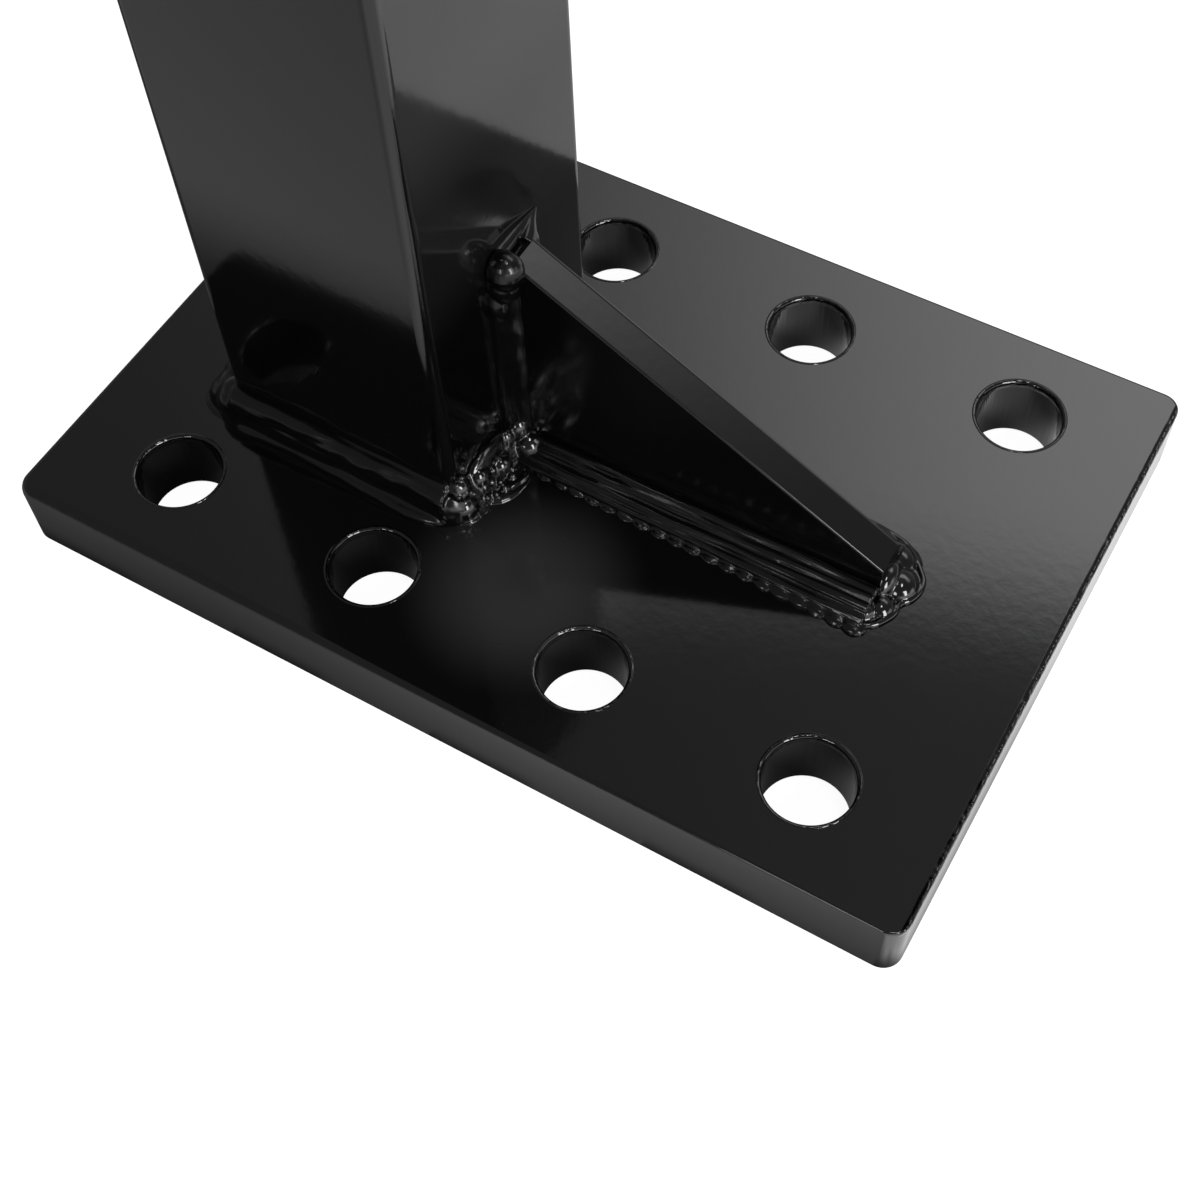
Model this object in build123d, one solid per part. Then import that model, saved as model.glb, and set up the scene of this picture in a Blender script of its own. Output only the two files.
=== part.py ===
from build123d import *
from math import cos, sin, sqrt
import os

# A welded steel post base: a thick base plate with eight bolt holes, a square tube post that
# stands off centre on it, one tapered gusset, and the runs of weld metal that join them.
# Millimetres. X runs along the plate, Y across it and Z up, from the middle of its underside.

# Base plate
plate_length = 250.0
plate_width = 170.0
plate_thickness = 20.0
plate_corner_radius = 5.0
plate_edge_radius = 1.0

# Bolt holes, in two rows
hole_diameter = 22.0
hole_pitch = 60.0
holes_per_row = 4
row_spacing = 120.0
hole_rim_chamfer = 0.5

# Square tube post
post_side = 67.0
post_wall = 3.0
post_corner_radius = 3.0
post_height = 180.0
post_x = -54.0
post_y = -3.5

# Gusset, on the middle of the post's +X face
gusset_thickness = 10.0
gusset_reach = 103.0
gusset_height = 68.5
gusset_toe_height = 12.0
gusset_edge_radius = 0.7

# Fillet weld along the post's front, taller than it is wide, with a toe ridge at its foot
front_wall_leg = 10.5
front_floor_leg = 6.5
front_crown = 1.4
front_ridge_height = 0.35
front_toe_share = 0.32

# Plain fillet welds round the rest of the post
plain_leg = 7.0
plain_crown = 1.0

# Rough, globular weld at the post's foot beside the gusset
rough_leg = 7.0
rough_crown = 0.6
globule_radius = 2.2
globule_pitch = 4.6
globule_rows = 3

# Lump of weld metal at the post's front corner: its middle stands out from the right face,
# back from the front face and up from the plate
blob_radius = 5.2
blob_stand = 1.1
blob_set_back = 2.8
blob_rise = 3.4

# Gusset fillet welds: long ridges above a scalloped toe, the front one wider towards the end
gusset_wall_leg = 6.0
gusset_floor_leg = 8.0
gusset_flare = 4.0
gusset_crown = 0.9
gusset_ridges = 4
gusset_ridge_height = 0.4
gusset_toe_rise = 0.9
scallop_pitch = 5.0
scallop_bulge = 0.9
scallop_trim = 0.45

# Lobes round the gusset's toe: along from its end, across from its middle, and radius,
# all as shares of the gusset welds' floor leg
toe_lobes = (
    (-0.25, -1.575, 0.65),
    (0.2, -1.0, 0.65),
    (0.3, 0.125, 0.825),
    (-0.2, 1.0, 0.75),
)
toe_lobe_sink = 1.2

# Upright fillet welds between gusset and post
upright_leg = 4.5
upright_floor_leg = 6.0
upright_crown = 0.7

# Weld over the gusset's top end: a flat facet, a lobe on the near side and a point on the far side
top_wall_leg = 2.5
top_slope_leg = 6.5
top_depth = 6.0
top_crown = 0.5
top_lobe_radius = 5.0
top_lobe_drop = 4.0
top_lobe_stand = 1.0
top_point_radius = 4.0
top_point_reach = 8.0

# Places worked out from the sizes above
deck = plate_thickness
post_half = post_side / 2
post_front = post_y - post_half
post_back = post_y + post_half
post_left = post_x - post_half
post_right = post_x + post_half
gusset_end = post_right + gusset_reach
gusset_front = post_y - gusset_thickness / 2
gusset_back = post_y + gusset_thickness / 2
gusset_slope = (gusset_height - gusset_toe_height) / gusset_reach


def make_base_plate():
    """Plate with eased edges and two rows of drilled holes with chamfered rims."""
    plate = extrude(RectangleRounded(plate_length, plate_width, plate_corner_radius), plate_thickness)
    plate = fillet(plate.faces().filter_by(Axis.Z).edges(), plate_edge_radius)
    drill = extrude(Circle(hole_diameter / 2), plate_thickness)
    plate -= GridLocations(hole_pitch, row_spacing, holes_per_row, 2) * drill
    rims = plate.edges().filter_by(GeomType.CIRCLE)
    rims = rims.filter_by(lambda edge: abs(edge.radius - hole_diameter / 2) < hole_rim_chamfer / 2)
    return chamfer(rims, hole_rim_chamfer)


def make_post_tube():
    """Open square tube that stands on the plate, saw-cut square at both ends."""
    inner_side = post_side - 2 * post_wall
    inner_radius = max(post_corner_radius - post_wall, post_wall / 4)
    section = RectangleRounded(post_side, post_side, post_corner_radius)
    section -= RectangleRounded(inner_side, inner_side, inner_radius)
    return Pos(post_x, post_y, deck) * extrude(section, post_height)


def make_gusset_plate():
    """Tapered stiffener on edge: square against post and plate, sloping down to a blunt toe."""
    outline = Polyline(
        (post_right, deck),
        (gusset_end, deck),
        (gusset_end, deck + gusset_toe_height),
        (post_right, deck + gusset_height),
        close=True,
    )
    side = Plane.XZ * make_face(outline)
    gusset = Pos(0, post_y, 0) * extrude(side, gusset_thickness / 2, both=True)
    eased = gusset.edges().filter_by(
        lambda edge: edge.center().X > post_right + gusset_edge_radius
        and edge.center().Z > deck + gusset_edge_radius
    )
    return fillet(eased, gusset_edge_radius)


def bead_section(wall_leg, floor_leg, crown, splits=(0.0, 1.0), ridge_height=0.0):
    """Section of a fillet weld in the corner of a floor (local X) and a wall (local Y).

    Its face bulges by crown over the straight line between the two toes. The splits, shares
    of that face from the floor toe up, part it into ridges that stand ridge_height proud.
    """
    chord = sqrt(wall_leg**2 + floor_leg**2)
    out = Vector(wall_leg, floor_leg) / chord

    def face_point(share, extra=0.0):
        bulge = 4 * crown * share * (1 - share) + extra
        return Vector(floor_leg * (1 - share), wall_leg * share) + out * bulge

    face = []
    for start, end in zip(splits, splits[1:]):
        middle = face_point((start + end) / 2, ridge_height)
        face.append(ThreePointArc(face_point(start), middle, face_point(end)))
    return make_face(Polyline((0, wall_leg), (0, 0), (floor_leg, 0)) + face)


def section_plane(root, out, up):
    """Plane of a bead section: its origin on the root, X away from the wall and Y up it."""
    out = Vector(*out)
    return Plane(origin=root, x_dir=out, z_dir=out.cross(Vector(*up)))


def straight_bead(section, root, out, up, length):
    """A bead run from its root point, along the direction that is out crossed with up."""
    return extrude(section_plane(root, out, up) * section, length)


def corner_bead(section, corner_x, corner_y, out):
    """A quarter turn of a bead round the tube's corner, counter-clockwise from out."""
    axis = Axis((corner_x, corner_y, deck), (0, 0, 1))
    root = Vector(corner_x, corner_y, deck) + Vector(*out) * post_corner_radius
    return revolve(section_plane(root, out, (0, 0, 1)) * section, axis, 90)


def make_weld_post_front():
    """Tall bead on the post's front face that wraps its left corner, in one pass and a toe ridge."""
    splits = (0.0, front_toe_share, 1.0)
    section = bead_section(front_wall_leg, front_floor_leg, front_crown, splits, front_ridge_height)
    run = post_side - 2 * post_corner_radius
    start_x = post_right - post_corner_radius
    bead = straight_bead(section, (start_x, post_front, deck), (0, -1, 0), (0, 0, 1), run)
    corner = (post_left + post_corner_radius, post_front + post_corner_radius)
    return bead + corner_bead(section, *corner, (-1, 0, 0))


def make_weld_post_left():
    """Plain bead on the post's left face."""
    section = bead_section(plain_leg, plain_leg, plain_crown)
    run = post_side - 2 * post_corner_radius
    start_y = post_front + post_corner_radius
    return straight_bead(section, (post_left, start_y, deck), (-1, 0, 0), (0, 0, 1), run)


def make_weld_post_back():
    """Plain bead on the post's back face, round both back corners."""
    section = bead_section(plain_leg, plain_leg, plain_crown)
    run = post_side - 2 * post_corner_radius
    start_x = post_left + post_corner_radius
    corner_y = post_back - post_corner_radius
    bead = straight_bead(section, (start_x, post_back, deck), (0, 1, 0), (0, 0, 1), run)
    bead += corner_bead(section, start_x, corner_y, (0, 1, 0))
    return bead + corner_bead(section, post_right - post_corner_radius, corner_y, (1, 0, 0))


def sphere_at(radius, x, y, z):
    """A ball of weld metal."""
    return Pos(x, y, z) * Sphere(radius)


def largest_solid(shape):
    """The one solid that carries the weld, without the slivers that a cut can leave."""
    return shape.solids().sort_by(SortBy.VOLUME)[-1]


def air_box(low, high):
    """A box between two opposite corners."""
    size = [top - bottom for bottom, top in zip(low, high)]
    return Pos(*low) * Box(*size, align=(Align.MIN, Align.MIN, Align.MIN))


def make_gusset_bead(face_y, side, flare):
    """Fillet weld along one side of the gusset: long ridges that end in a scalloped toe.

    Its toe stands flare further from the gusset at the gusset's end than at the post. The
    ridges run scallop_trim past the scallops' crests, and the scalloped footprint cuts them.
    """
    splits = [ridge / gusset_ridges for ridge in range(gusset_ridges + 1)]

    def ridged_section(x, floor_leg):
        reach = floor_leg + scallop_bulge + scallop_trim
        section = bead_section(gusset_wall_leg, reach, gusset_crown, splits, gusset_ridge_height)
        section = Pos(0, gusset_toe_rise, 0) * section + Rectangle(
            reach, gusset_toe_rise, align=(Align.MIN, Align.MIN)
        )
        return section_plane((x, face_y, deck), (0, side, 0), (0, 0, 1)) * section

    ends = [ridged_section(post_right, gusset_floor_leg)]
    ends.append(ridged_section(gusset_end, gusset_floor_leg + flare))
    bead = loft([end.faces()[0] for end in ends], ruled=True)

    scallops = round(gusset_reach / scallop_pitch)
    pitch = gusset_reach / scallops
    lobes = []
    for lobe in range(scallops):
        near = lobe * pitch
        mark = [near, near + pitch / 2, near + pitch]
        reach = [gusset_floor_leg + flare * along / gusset_reach for along in mark]
        reach[1] += scallop_bulge
        lobes.append(ThreePointArc(*[(x, side * y) for x, y in zip(mark, reach)]))
    last = (gusset_reach, side * (gusset_floor_leg + flare))
    base = Polyline((0, side * gusset_floor_leg), (0, 0), (gusset_reach, 0), last)
    footprint = extrude(make_face(base + lobes), gusset_height, both=True)
    return bead & Pos(post_right, face_y, deck) * footprint


def make_weld_corner_blob(front_weld):
    """End of the front pass: a quarter turn of bead under a round, drooping lump."""
    corner_x = post_right - post_corner_radius
    corner_y = post_front + post_corner_radius
    section = bead_section(rough_leg, rough_leg, rough_crown)
    blob = corner_bead(section, corner_x, corner_y, (0, -1, 0))
    middle = (post_right + blob_stand, post_front + blob_set_back, deck + blob_rise)
    blob += sphere_at(blob_radius, *middle)
    blob &= air_box((corner_x - blob_radius, post_front - post_half, deck),
                    (post_right + post_half, post_y, deck + post_half))
    return largest_solid(blob - post_tube - front_weld)


def make_weld_post_right_front(*neighbours):
    """Rough weld on the post's right face: a plain fillet covered in rows of small globules."""
    section = bead_section(rough_leg, rough_leg, rough_crown)
    run = gusset_front - post_front - post_corner_radius
    weld = straight_bead(section, (post_right, gusset_front, deck), (1, 0, 0), (0, 0, 1), run)
    columns = int(run / globule_pitch)
    for column in range(columns):
        for row in range(globule_rows):
            jitter = sin(5 * column + 3 * row)
            share = (row + 0.5 + 0.2 * jitter) / globule_rows
            along = gusset_front - (column + 0.7 + 0.25 * cos(4 * row + column)) * globule_pitch
            out = post_right + rough_leg * share
            up = deck + rough_leg * (1 - share)
            weld += sphere_at(globule_radius * (1 + 0.15 * jitter), out, along, up)
    weld &= air_box((post_right, post_front, deck), (gusset_end, gusset_front, deck + gusset_height))
    for neighbour in neighbours:
        weld -= neighbour
    return largest_solid(weld)


def make_weld_post_right_back(gusset_bead):
    """Plain bead on the post's right face behind the gusset."""
    section = bead_section(plain_leg, plain_leg, plain_crown)
    run = post_back - post_corner_radius - gusset_back
    start_y = post_back - post_corner_radius
    weld = straight_bead(section, (post_right, start_y, deck), (1, 0, 0), (0, 0, 1), run)
    return largest_solid(weld - gusset_bead)


def make_upright(face_y, side, *neighbours):
    """Upright bead in the corner of the post and one side of the gusset."""
    section = bead_section(upright_leg, upright_floor_leg, upright_crown)
    height = gusset_height - top_depth
    root_z = deck + height if side < 0 else deck
    weld = straight_bead(section, (post_right, face_y, root_z), (1, 0, 0), (0, side, 0), height)
    for neighbour in neighbours:
        weld -= neighbour
    return largest_solid(weld)


def make_weld_gusset_toe(*neighbours):
    """Lobes of weld metal that wrap the gusset's blunt end."""
    weld = None
    for shares in toe_lobes:
        along, across, radius = [share * gusset_floor_leg for share in shares]
        lobe = sphere_at(radius, gusset_end + along, post_y + across, deck - toe_lobe_sink)
        weld = lobe if weld is None else weld + lobe
    far = gusset_thickness + 2 * gusset_floor_leg
    weld &= air_box((post_x, post_y - far, deck), (plate_length, post_y + far, deck + gusset_height))
    for neighbour in neighbours:
        weld -= neighbour
    return largest_solid(weld)


def make_weld_gusset_top(*neighbours):
    """Weld over the gusset's top end: a flat facet across it, a near lobe and a far point."""
    top_z = deck + gusset_height
    run_out = top_slope_leg / sqrt(1 + gusset_slope**2)
    wall_toe = Vector(post_right, 0, top_z + top_wall_leg)
    slope_toe = Vector(post_right + run_out, 0, top_z - run_out * gusset_slope)
    middle = (wall_toe + slope_toe) / 2 + Vector(1, 0, 1).normalized() * top_crown
    under = Vector(post_right, 0, top_z - top_depth)
    outline = Polyline(slope_toe, under, wall_toe) + ThreePointArc(wall_toe, middle, slope_toe)
    weld = Pos(0, post_y, 0) * extrude(make_face(outline), gusset_thickness / 2, both=True)
    weld += sphere_at(top_lobe_radius, post_right + top_lobe_stand, gusset_front, top_z - top_lobe_drop)
    point = Cone(top_point_radius, top_point_radius / 8, top_point_reach)
    point = Rot(-90, 0, 0) * point
    middle_y = gusset_back + top_point_reach / 2
    weld += Pos(post_right, middle_y, top_z + top_wall_leg - top_point_radius) * point
    weld &= air_box((post_right, post_front, deck), (gusset_end, post_back, deck + post_height))
    for neighbour in neighbours:
        weld -= neighbour
    return largest_solid(weld)


base_plate = make_base_plate()
post_tube = make_post_tube()
gusset_plate = make_gusset_plate()
weld_post_front = make_weld_post_front()
weld_post_left = make_weld_post_left()
weld_post_back = make_weld_post_back()
weld_gusset_front = make_gusset_bead(gusset_front, -1, gusset_flare)
weld_gusset_back = make_gusset_bead(gusset_back, 1, 0)
weld_corner_blob = make_weld_corner_blob(weld_post_front)
weld_post_right_front = make_weld_post_right_front(weld_gusset_front, weld_corner_blob)
weld_post_right_back = make_weld_post_right_back(weld_gusset_back)
weld_upright_front = make_upright(gusset_front, -1, weld_gusset_front, weld_post_right_front)
weld_upright_back = make_upright(gusset_back, 1, weld_gusset_back, weld_post_right_back)
weld_gusset_toe = make_weld_gusset_toe(gusset_plate, weld_gusset_front, weld_gusset_back)
weld_gusset_top = make_weld_gusset_top(gusset_plate, weld_upright_front, weld_upright_back)

pieces = {
    "base_plate": base_plate,
    "post_tube": post_tube,
    "gusset_plate": gusset_plate,
    "weld_post_front": weld_post_front,
    "weld_post_left": weld_post_left,
    "weld_post_back": weld_post_back,
    "weld_post_right_front": weld_post_right_front,
    "weld_post_right_back": weld_post_right_back,
    "weld_corner_blob": weld_corner_blob,
    "weld_gusset_front": weld_gusset_front,
    "weld_gusset_back": weld_gusset_back,
    "weld_gusset_toe": weld_gusset_toe,
    "weld_upright_front": weld_upright_front,
    "weld_upright_back": weld_upright_back,
    "weld_gusset_top": weld_gusset_top,
}

os.makedirs("parts", exist_ok=True)
for name, piece in pieces.items():
    export_step(piece, f"parts/{name}.step")
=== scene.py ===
import math
import random

import bpy
from mathutils import Matrix, Vector


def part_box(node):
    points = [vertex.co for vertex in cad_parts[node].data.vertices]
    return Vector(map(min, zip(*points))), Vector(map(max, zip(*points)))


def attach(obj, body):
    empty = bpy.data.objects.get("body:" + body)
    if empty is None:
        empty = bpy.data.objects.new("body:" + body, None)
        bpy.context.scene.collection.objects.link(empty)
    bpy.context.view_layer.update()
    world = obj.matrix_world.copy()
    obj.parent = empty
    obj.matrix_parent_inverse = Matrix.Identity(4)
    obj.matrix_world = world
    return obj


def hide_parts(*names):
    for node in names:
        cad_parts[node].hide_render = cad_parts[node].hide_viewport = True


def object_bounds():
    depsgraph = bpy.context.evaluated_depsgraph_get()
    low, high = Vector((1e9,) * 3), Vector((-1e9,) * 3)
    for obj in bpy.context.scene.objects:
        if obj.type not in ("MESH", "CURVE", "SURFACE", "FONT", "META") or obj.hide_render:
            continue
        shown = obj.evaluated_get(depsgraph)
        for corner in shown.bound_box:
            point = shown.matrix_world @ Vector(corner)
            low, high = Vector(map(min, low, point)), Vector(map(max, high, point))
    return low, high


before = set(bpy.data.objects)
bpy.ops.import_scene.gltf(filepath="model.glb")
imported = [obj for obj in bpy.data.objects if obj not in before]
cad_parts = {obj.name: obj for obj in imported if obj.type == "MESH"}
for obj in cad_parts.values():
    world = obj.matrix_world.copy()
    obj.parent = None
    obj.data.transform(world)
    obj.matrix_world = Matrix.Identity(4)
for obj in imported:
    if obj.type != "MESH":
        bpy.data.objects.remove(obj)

bl_info = {
    "name": "Welded Post Base",
    "version": (1, 0, 0),
    "blender": (4, 5, 0),
    "location": "View3D > Sidebar > Post Base",
    "description": "Dresses a welded and black coated post base, and lights it in a white studio",
    "category": "Object",
}

CAD_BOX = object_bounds()
BODY = "root"
MM = 0.001

# places of the frame that the pieces are set against, in metres
PLATE_LOW, PLATE_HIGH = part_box("base_plate")
POST_LOW, POST_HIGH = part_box("post_tube")
GUSSET_LOW, GUSSET_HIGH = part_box("gusset_plate")
DECK = PLATE_HIGH.z

# the same in millimetres, for the weld metal
POST_FRONT = POST_LOW.y / MM
POST_LEFT = POST_LOW.x / MM
POST_RIGHT = POST_HIGH.x / MM

# the plate's holes and corners
HOLE_RADIUS = 0.011
HOLE_PITCH = 0.06
ROW_OFFSET = 0.06
HOLE_STEPS = (-1.5, -0.5, 0.5, 1.5)
HOLE_SPOTS = [(step * HOLE_PITCH, row) for step in HOLE_STEPS for row in (-ROW_OFFSET, ROW_OFFSET)]
HOLE_SIDES = 96
CUTTER_LENGTH = 0.03
PLATE_CORNER = 0.005

# the plate's front edge is rounder at its left end: from how far behind the edge, how many times rounder it
# is there, and how much of that is lost by the right end
FRONT_REACH = 0.012
FRONT_GAIN = 2.0
FRONT_LOSS = 2.6

# the gusset's blunt end, and its melted top as a place in millimetres and the way up from it
GUSSET_TOE_HEIGHT = 0.012
MELTED_TOP = (-18, 0, 65.7)
MELTED_SLOPE = Vector((-0.1, 0.0, 1.0)).normalized()

# tests on a mesh: two places that count as one, two that are merged, a distance that stands for far off, a
# margin over a stated length, the least area of a broad face, and the least cosine between a broad face and
# one that takes its normal
SAME_PLACE = 1e-5
MERGED = 1e-6
FAR_OFF = 1.0
MARGIN = 1.2
BROAD_FACE = 0.0002
NEAR_LEVEL = 0.9
SMOOTH_ANGLE = math.radians(22)

# the coat: indexes of refraction, waves per metre of its noises, heights in metres and shares of roughness
COAT_IOR = 1.5
BEAD_IOR = 1.38
DRAG_SCALE = 700.0
DRAG_STRETCH = (1.0, 1.0, 0.06)
DRAG_DEPTH = 0.00008
DROP_SCALE = 420.0
DROP_DEPTH = 0.0008
RIM_DROPS = 0.4
GRAIN_SCALE = 1500.0
GRAIN_SHARE = 0.02
PATCH_SCALE = 60.0
PATCH_ROUGHNESS = 0.03
SIDE_ROUGHNESS = 0.06
PIMPLE_SCALE = 700.0
PIMPLE_DEPTH = 0.000012
CLOUD_SCALE = 200.0
CLOUD_ROUGHNESS = 0.06
# the middle of the painted sheen on the plate before the post, along and across in metres
PAINTED_SHEEN_SPOT = (0.005, -0.047)

# fades on the steel: start and end in metres, then the value at each where they aren't 0 and 1
CUT_WALL = (DECK - 0.0012, DECK - 0.0004, 1.0, 0.0)
DROPS_FROM = (DECK - 0.0022, DECK - 0.0012)
DROPS_TO = (DECK + 0.0001, DECK + 0.0004, 1.0, 0.0)
ABOVE_DECK = (DECK + 0.0005, DECK + 0.0008)
PAST_POST = (POST_HIGH.x + 0.0005, POST_HIGH.x + 0.0008)
# the painted sheen's fade from its middle, and the painted light up the post's right face, lighter towards
# its top
PAINTED_SHEEN_FADE = (0.008, 0.033, 1.0, 0.0)
PAINTED_FACE_LIGHT_LOW = (DECK + 0.055, DECK + 0.08, 0.0, 0.18)
PAINTED_FACE_LIGHT_HIGH = (DECK + 0.095, DECK + 0.125, 0.0, 0.52)

# bands about a place on the steel: how far each is whole, and where it ends
RIM_BAND = (0.0008, 0.0012)
RIGHT_EDGE_BAND = (0.0004, 0.0016)
GUSSET_SIDE_BAND = (0.0002, 0.0006)
DECK_BAND = (0.0001, 0.0005)
POST_FACE_BAND = (0.0001, 0.0004)

# fades of painted light and shade on the floor, as the gloss of the coat sees it
ROW_PAINTED_LIGHT = (-0.03, 0.03, 0.3, 1.0)
HOLE_PAINTED_LIGHT = (-0.006, 0.003, 0.8, 2.7)
UNDER_PLATE_PAINTED_SHADE = (-0.001, 0.003)
FRONT_PAINTED_SHADOW = (PLATE_LOW.y - 0.032, PLATE_LOW.y + 0.004, 1.0, 0.2)
RIGHT_PAINTED_LIGHT = (PLATE_HIGH.x - 0.004, PLATE_HIGH.x)
BACK_PAINTED_LIGHT = (PLATE_HIGH.y - 0.02, PLATE_HIGH.y, 0.0, 0.6)
LEFT_PAINTED_SHADE = (-0.08, 0.05, 0.52, 1.1)

# the floor to the camera: its own glow, and the grey that takes the faint shadow
FLOOR_GLOW = 0.94
SHADOW_LEVEL = 0.25


def arc(start, end, *values):
    """A fade between two angles, given in degrees."""
    return (math.radians(start), math.radians(end), *values)


# fades of the studio's light round and up the room: a large panel behind the post, and a low horizon
PANEL_LEFT = arc(-62, -2)
PANEL_RIGHT = arc(20, 49, 1.0, 0.0)
PANEL_TOP = arc(53.0, 57.6, 1.0, 0.04)
PANEL_FOOT = arc(32, 47, 0.03, 1.0)
PANEL_SLANT = 0.06
PANEL_CURVE = 1.7
HORIZON_TOP = arc(13, 22, 2.4, 0.0)
HORIZON_LEFT = arc(58, 75)
HORIZON_RIGHT = arc(145, 165, 1.0, 0.0)
ROOM_LEVEL = 0.27

# each soft lamp: name, bearing and rise in degrees, width and height in metres, and power in watts
LAMP_DISTANCE = 1.2
LAMPS = (
    ("overhead_lamp", 97, 77, 0.12, 0.12, 1.6),
    ("front_lamp", 180, 28, 0.24, 0.24, 2.6),
    ("strip_lamp", 114, 31, 0.34, 0.6, 12.0),
)
FLOOR_SIZE = 6.0
SENSOR_WIDTH = 36.0

# weld metal: how finely a lump is made, how far a skin is relaxed in a round, and the share of a fillet's
# legs beyond which a corner is a slanted one
LUMP_SEGMENTS = 20
LUMP_RINGS = 12
RELAX = 0.6
SLANTED = 0.3

# the ropes along the gusset's beads: points, wander in millimetres, how much of it sinks, and uneven radius
ROPE_POINTS = 12
ROPE_WANDER = (-0.3, 0.3)
ROPE_SINK = 0.4
ROPE_UNEVEN = (0.94, 1.06)

# the scallops along their toes: the first one's distance from the start in millimetres, size and height as
# shares at the post and what the toe adds, length by width, turn in degrees, and uneven size and pitch
SCALLOP_START = 12
SCALLOP_SIZE = (0.7, 0.4)
SCALLOP_HEIGHT = (0.2, 0.4)
SCALLOP_LENGTH = 1.25
SCALLOP_TURN = 25
SCALLOP_UNEVEN = (0.9, 1.1)


# Shader maths

class Value:
    """A number that varies over a surface: the wrapped output socket of a node."""

    def __init__(self, shade, socket):
        self.shade = shade
        self.socket = socket

    def maths(self, operation, *others):
        return self.shade.maths(operation, self, *others)

    def __add__(self, other):
        return self.maths("ADD", other)

    def __sub__(self, other):
        return self.maths("SUBTRACT", other)

    def __mul__(self, other):
        return self.maths("MULTIPLY", other)

    def __pow__(self, other):
        return self.maths("POWER", other)

    def __radd__(self, other):
        return self.shade.maths("ADD", other, self)

    def __rsub__(self, other):
        return self.shade.maths("SUBTRACT", other, self)

    def __rmul__(self, other):
        return self.shade.maths("MULTIPLY", other, self)

    def __rpow__(self, other):
        return self.shade.maths("POWER", other, self)


class Shade:
    """The nodes of one material, or of the world, as they are added."""

    def __init__(self, owner):
        owner.use_nodes = True
        self.tree = owner.node_tree
        self.tree.nodes.clear()

    def node(self, kind, settings=None, inputs=None, output=0):
        """Adds a node of any kind, its settings first and then its sockets, and gives back one output."""
        made = self.tree.nodes.new(kind)
        for name, value in (settings or {}).items():
            setattr(made, name, value)
        for key, value in (inputs or {}).items():
            if isinstance(value, Value):
                self.tree.links.new(value.socket, made.inputs[key])
            else:
                made.inputs[key].default_value = value
        return Value(self, made.outputs[output]) if len(made.outputs) else None

    def maths(self, operation, *values):
        return self.node("ShaderNodeMath", {"operation": operation}, dict(enumerate(values)))

    def split(self, vector):
        """The x, y and z of a vector."""
        parts = self.node("ShaderNodeSeparateXYZ", None, {0: vector}).socket.node.outputs
        return [Value(self, parts[axis]) for axis in "XYZ"]

    def noise(self, vector, scale, detail=2.0, roughness=0.5):
        """A soft noise of so many waves a metre."""
        inputs = {"Vector": vector, "Scale": scale, "Detail": detail, "Roughness": roughness}
        return self.node("ShaderNodeTexNoise", {"noise_dimensions": "3D"}, inputs, "Fac")

    def between(self, value, low, high, start=0.0, end=1.0):
        """A smooth step of value from low to high, given as start to end."""
        settings = {"interpolation_type": "SMOOTHSTEP"}
        inputs = {"Value": value, "From Min": low, "From Max": high, "To Min": start, "To Max": end}
        return self.node("ShaderNodeMapRange", settings, inputs, "Result")

    def near(self, value, place, inner, outer):
        """1 where value lies within inner of place, falling to 0 at outer."""
        return self.between((value - place).maths("ABSOLUTE"), inner, outer, 1.0, 0.0)

    def coat(self, colour, roughness, ior, height):
        """Ends the tree with a gloss coat whose skin has a height in metres."""
        bump = self.node("ShaderNodeBump", None, {"Strength": 1.0, "Distance": 1.0, "Height": height})
        inputs = {"Base Color": colour, "Roughness": roughness, "IOR": ior, "Normal": bump}
        gloss = self.node("ShaderNodeBsdfPrincipled", None, inputs)
        self.node("ShaderNodeOutputMaterial", None, {"Surface": gloss})


def grey(level):
    return (level, level, level, 1.0)


def along_from_hole(x):
    """How far along the plate a place lies from the nearest hole's middle."""
    return (x + 2 * HOLE_PITCH).maths("MODULO", HOLE_PITCH) - HOLE_PITCH / 2


def distance(x, y):
    """The length of a level line from its two parts."""
    return (x * x + y * y).maths("SQRT")


def steel_height(shade, settings, place, x, y, z):
    """The coat's skin: orange peel, drag lines in the cut walls, and drops along the rims and one edge."""
    peel = shade.noise(place, 1.0 / settings.peel_size)
    upright = shade.node("ShaderNodeVectorMath", {"operation": "MULTIPLY"}, {0: place, 1: DRAG_STRETCH})
    drag = shade.noise(upright, DRAG_SCALE) * shade.between(z, *CUT_WALL)
    from_hole = distance(along_from_hole(x), y.maths("ABSOLUTE") - ROW_OFFSET)
    rim = shade.near(from_hole, HOLE_RADIUS, *RIM_BAND)
    right_edge = shade.near(x, PLATE_HIGH.x, *RIGHT_EDGE_BAND)
    edges = right_edge.maths("MAXIMUM", rim * RIM_DROPS)
    edges = edges * shade.between(z, *DROPS_FROM) * shade.between(z, *DROPS_TO)
    drops = shade.noise(place, DROP_SCALE, 1.0) * edges
    grain = shade.noise(place, GRAIN_SCALE)
    height = peel * settings.peel_depth + grain * (settings.peel_depth * GRAIN_SHARE)
    return height + drag * DRAG_DEPTH + drops * DROP_DEPTH


def steel_roughness(shade, settings, place, x, y, z):
    """The coat's roughness: a little uneven, and duller on the gusset's near side."""
    dull = shade.near(y, GUSSET_LOW.y, *GUSSET_SIDE_BAND)
    dull = dull * shade.between(z, *ABOVE_DECK) * shade.between(x, *PAST_POST)
    patches = shade.noise(place, PATCH_SCALE, 3.0) * PATCH_ROUGHNESS
    return patches + dull * SIDE_ROUGHNESS + (settings.steel_roughness - PATCH_ROUGHNESS / 2)


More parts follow.
